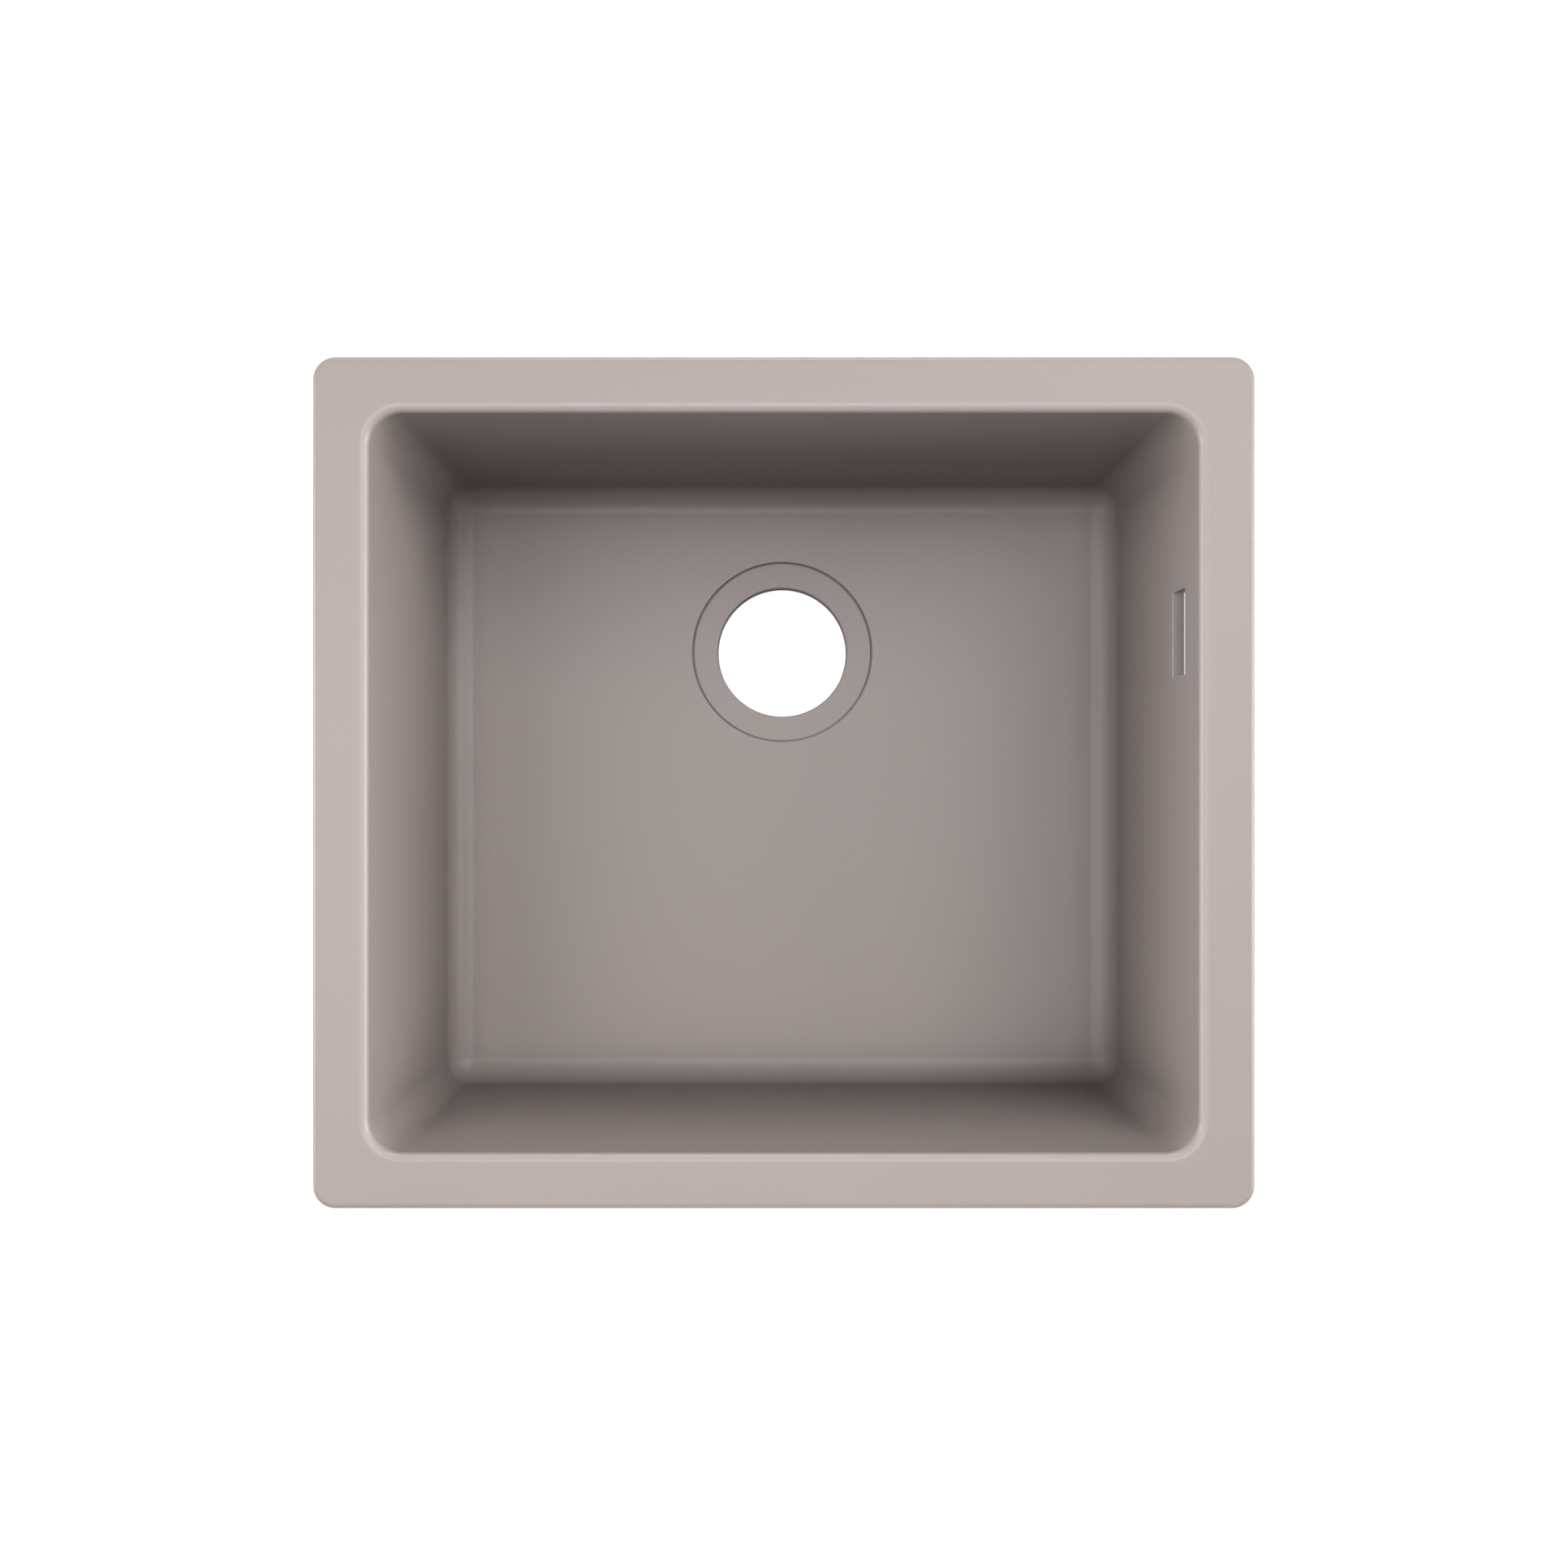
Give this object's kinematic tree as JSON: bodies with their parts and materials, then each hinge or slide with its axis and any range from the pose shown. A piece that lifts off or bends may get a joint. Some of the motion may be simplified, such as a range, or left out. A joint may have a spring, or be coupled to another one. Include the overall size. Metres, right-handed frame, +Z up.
{
  "type": "undermount kitchen sink",
  "caption": "Rectangular single-bowl undermount sink in matt grey-beige composite, with an offset round waste hole, an overflow slot and swinging fixing lugs under a flat rim.",
  "frame": {"origin": "middle of the rim's flat top face, where it meets the worktop", "axes": "+X to the overflow's side, +Y to the back, where the waste hole is, +Z up out of the bowl"},
  "size_m": [0.5, 0.452, 0.203],
  "materials": {
    "composite": "matte",
    "insert_brass": "satin",
    "screw_steel": "satin",
    "washer_steel": "satin",
    "spring_steel": "satin",
    "lug_steel": "satin"
  },
  "bodies": {
    "bowl": {"bowl": "composite", "rim_inserts": "insert_brass", "lug_screws": "screw_steel", "lug_washers": "washer_steel", "lug_spring_washers": "spring_steel"},
    "lug_front_1": {"lug_front_1": "lug_steel"},
    "lug_front_2": {"lug_front_2": "lug_steel"},
    "lug_front_3": {"lug_front_3": "lug_steel"},
    "lug_back_1": {"lug_back_1": "lug_steel"},
    "lug_back_2": {"lug_back_2": "lug_steel"},
    "lug_back_3": {"lug_back_3": "lug_steel"},
    "lug_left_1": {"lug_left_1": "lug_steel"},
    "lug_left_2": {"lug_left_2": "lug_steel"},
    "lug_right_1": {"lug_right_1": "lug_steel"},
    "lug_right_2": {"lug_right_2": "lug_steel"}
  },
  "joints": [
    {"name": "lug_front_1_swing", "type": "hinge", "parent": "bowl", "child": "lug_front_1", "pos_m": [-0.16, -0.2165, -0.0143], "axis": [0, 0, -1], "range_deg": [0, 180]},
    {"name": "lug_front_2_swing", "type": "hinge", "parent": "bowl", "child": "lug_front_2", "pos_m": [0, -0.2165, -0.0143], "axis": [0, 0, -1], "range_deg": [0, 180]},
    {"name": "lug_front_3_swing", "type": "hinge", "parent": "bowl", "child": "lug_front_3", "pos_m": [0.16, -0.2165, -0.0143], "axis": [0, 0, 1], "range_deg": [0, 180]},
    {"name": "lug_back_1_swing", "type": "hinge", "parent": "bowl", "child": "lug_back_1", "pos_m": [-0.16, 0.2165, -0.0143], "axis": [0, 0, 1], "range_deg": [0, 180]},
    {"name": "lug_back_2_swing", "type": "hinge", "parent": "bowl", "child": "lug_back_2", "pos_m": [0, 0.2165, -0.0143], "axis": [0, 0, 1], "range_deg": [0, 180]},
    {"name": "lug_back_3_swing", "type": "hinge", "parent": "bowl", "child": "lug_back_3", "pos_m": [0.16, 0.2165, -0.0143], "axis": [0, 0, -1], "range_deg": [0, 180]},
    {"name": "lug_left_1_swing", "type": "hinge", "parent": "bowl", "child": "lug_left_1", "pos_m": [-0.2405, -0.15, -0.0143], "axis": [0, 0, -1], "range_deg": [0, 180]},
    {"name": "lug_left_2_swing", "type": "hinge", "parent": "bowl", "child": "lug_left_2", "pos_m": [-0.2405, 0.15, -0.0143], "axis": [0, 0, 1], "range_deg": [0, 180]},
    {"name": "lug_right_1_swing", "type": "hinge", "parent": "bowl", "child": "lug_right_1", "pos_m": [0.2405, -0.15, -0.0143], "axis": [0, 0, 1], "range_deg": [0, 180]},
    {"name": "lug_right_2_swing", "type": "hinge", "parent": "bowl", "child": "lug_right_2", "pos_m": [0.2405, 0.15, -0.0143], "axis": [0, 0, -1], "range_deg": [0, 180]}
  ]
}
